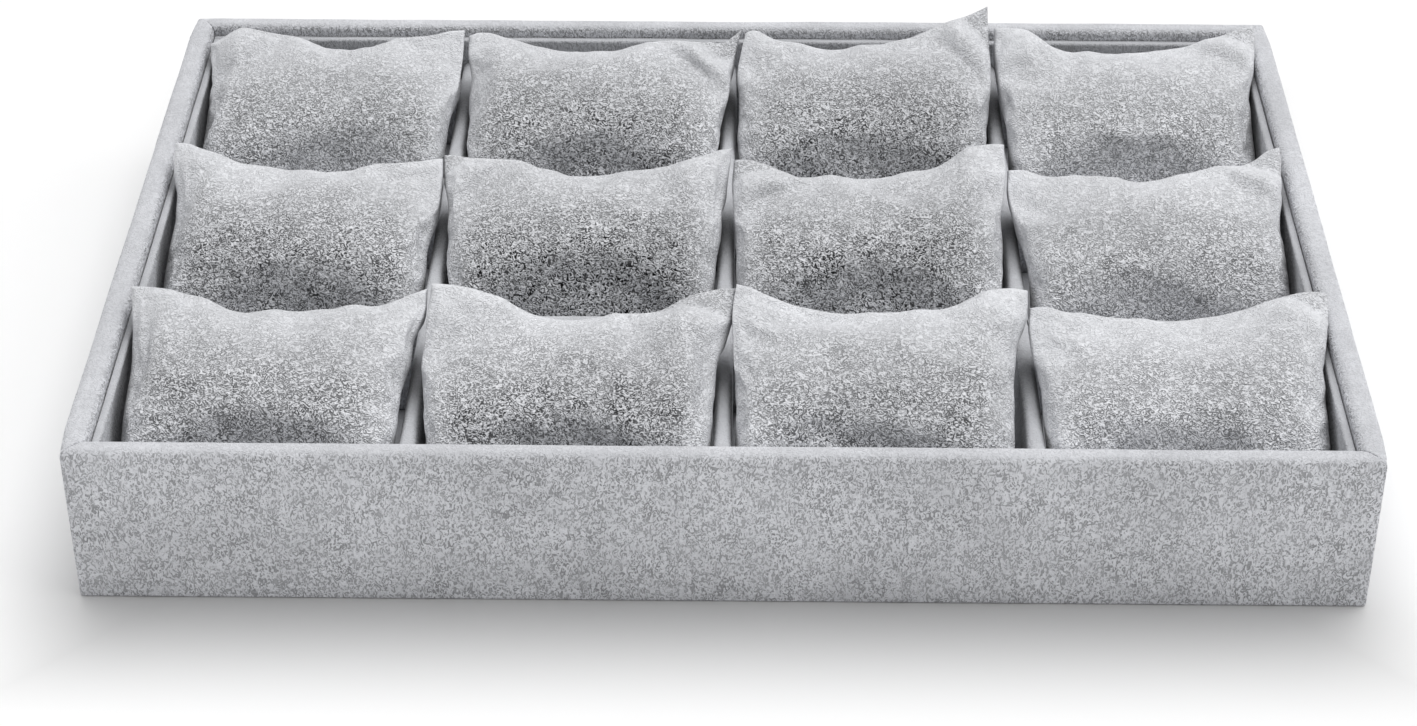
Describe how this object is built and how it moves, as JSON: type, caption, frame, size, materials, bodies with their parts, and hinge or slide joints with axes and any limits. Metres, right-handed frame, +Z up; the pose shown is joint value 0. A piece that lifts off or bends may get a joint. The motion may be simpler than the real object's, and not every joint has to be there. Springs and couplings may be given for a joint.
{
  "type": "watch display tray",
  "caption": "Open rectangular tray covered in soft velvet, divided into cells that each hold a small sewn pillow leaning back to carry a watch.",
  "frame": {"origin": "centre of the tray's footprint, on the surface that it stands on", "axes": "+X along the long side to the viewer's right, +Y from the front wall to the back wall, +Z up"},
  "size_m": [0.35, 0.241, 0.061],
  "materials": {
    "cover_velvet": "soft matt",
    "liner_velvet": "soft matt",
    "pillow_velvet": "soft matt",
    "board": "plain board",
    "bottom_lining": "matt"
  },
  "bodies": {
    "root": {"base_board": "board", "front_wall_board": "board", "back_wall_board": "board", "left_wall_board": "board", "right_wall_board": "board", "front_cover": "cover_velvet", "back_cover": "cover_velvet", "left_cover": "cover_velvet", "right_cover": "cover_velvet", "bottom_sheet": "bottom_lining", "floor_pad": "liner_velvet", "front_liner": "liner_velvet", "back_liner": "liner_velvet", "left_liner": "liner_velvet", "right_liner": "liner_velvet", "long_divider_1": "liner_velvet", "long_divider_2": "liner_velvet", "long_divider_3": "liner_velvet", "cross_divider_1": "liner_velvet", "cross_divider_2": "liner_velvet", "pillow_r1_c1": "pillow_velvet", "pillow_r1_c2": "pillow_velvet", "pillow_r1_c3": "pillow_velvet", "pillow_r1_c4": "pillow_velvet", "pillow_r2_c1": "pillow_velvet", "pillow_r2_c2": "pillow_velvet", "pillow_r2_c3": "pillow_velvet", "pillow_r2_c4": "pillow_velvet", "pillow_r3_c1": "pillow_velvet", "pillow_r3_c2": "pillow_velvet", "pillow_r3_c3": "pillow_velvet", "pillow_r3_c4": "pillow_velvet"}
  },
  "joints": []
}
